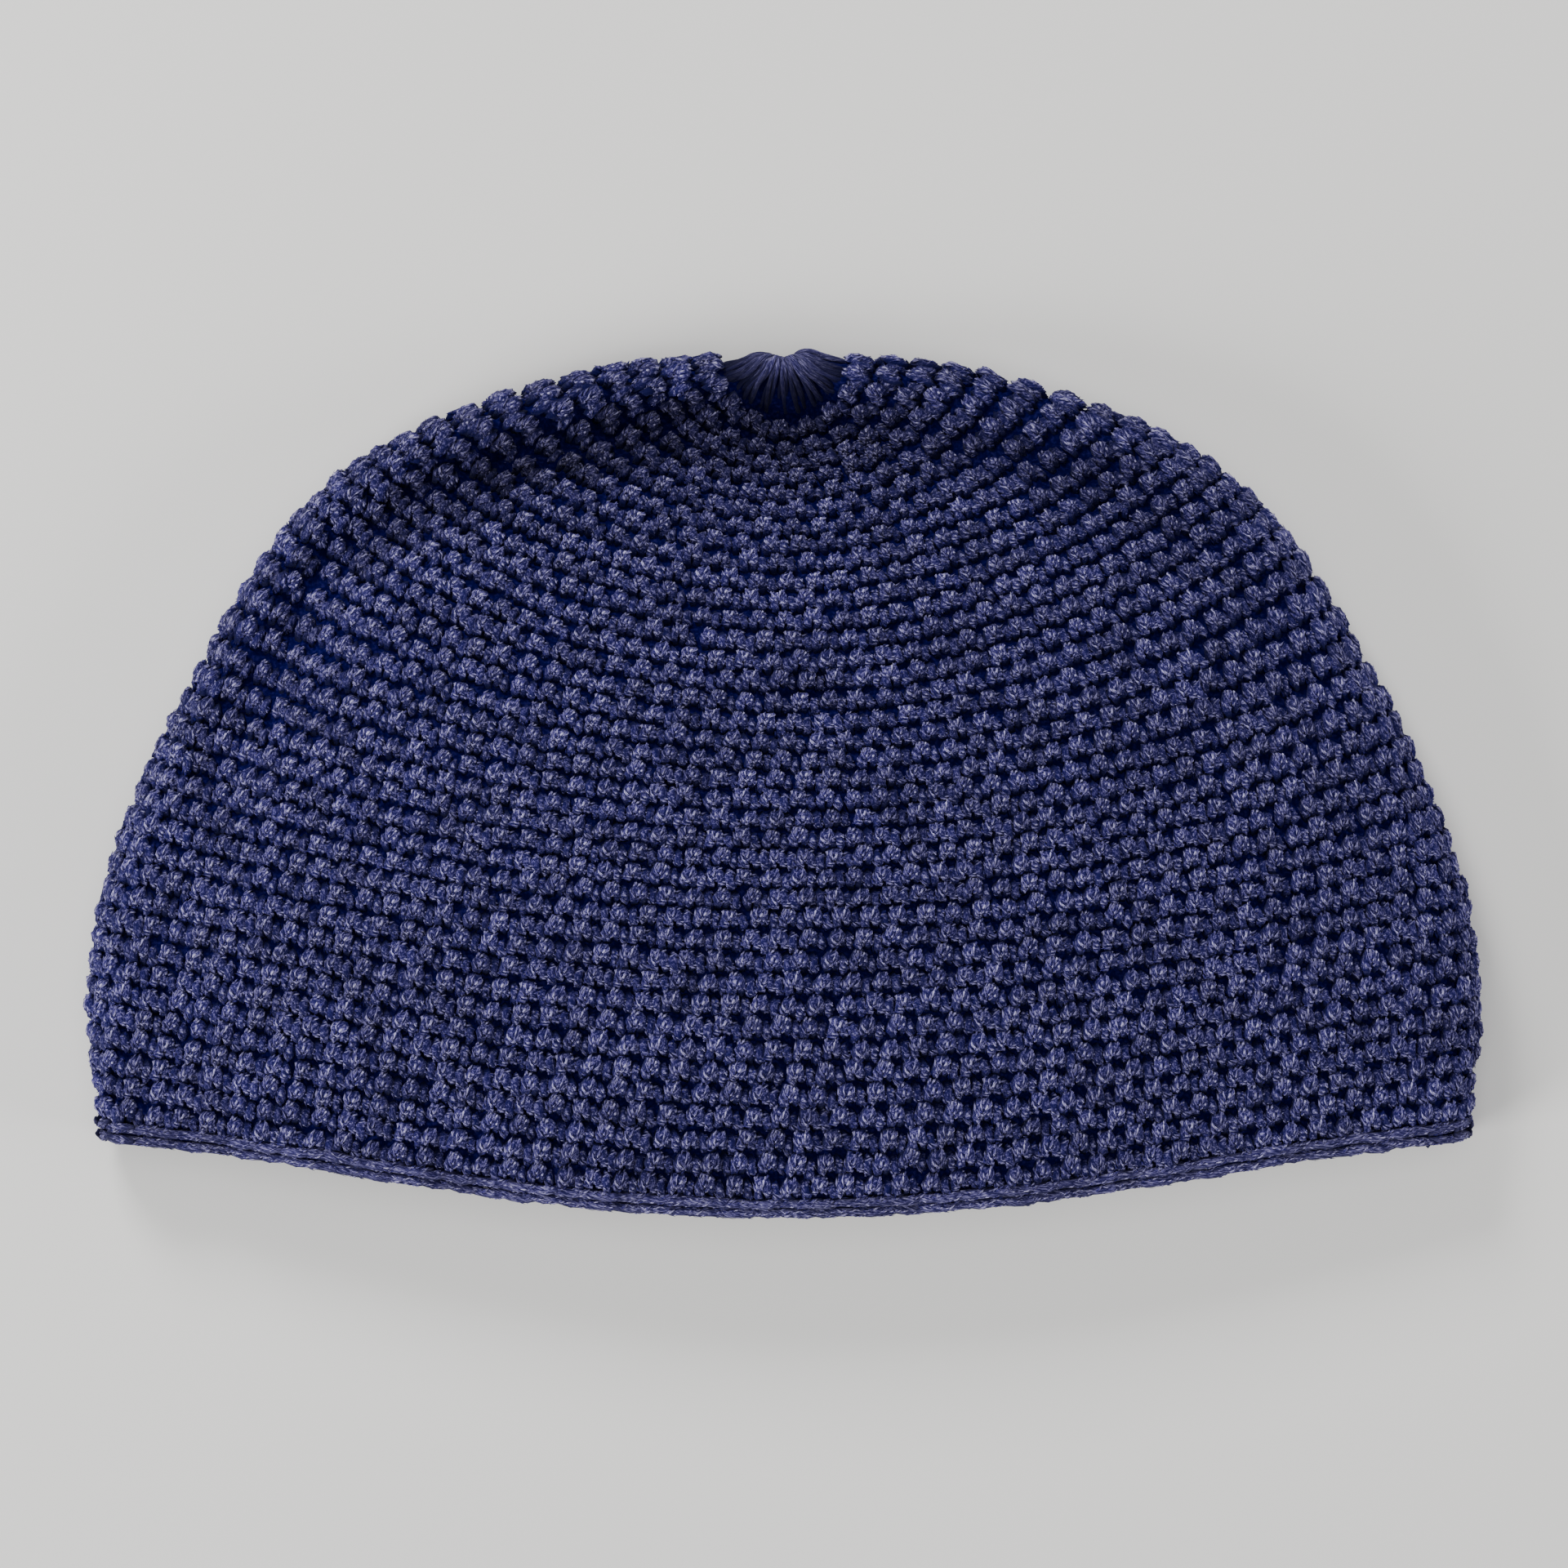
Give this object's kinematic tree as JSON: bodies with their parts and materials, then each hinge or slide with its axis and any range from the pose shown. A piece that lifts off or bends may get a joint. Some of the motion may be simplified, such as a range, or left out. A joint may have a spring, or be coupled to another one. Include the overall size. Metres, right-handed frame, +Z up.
{
  "type": "crocheted kufi cap",
  "caption": "Close-fitting brimless cap crocheted in rounds from thick yarn, lying on its back wall with the mouth open at one side and a chain edging along the rim.",
  "frame": {"origin": "on the floor under the middle of the cap's box, where the back wall rests", "axes": "+X across the cap from fold to fold, +Y from the mouth towards the crown's centre, +Z up through the front wall"},
  "size_m": [0.2634, 0.1621, 0.0399],
  "materials": {
    "yarn": "dark blue crochet yarn, matt and slightly fuzzy"
  },
  "bodies": {
    "root": {"crochet_shell": "yarn", "rim_edging": "yarn"}
  },
  "joints": []
}
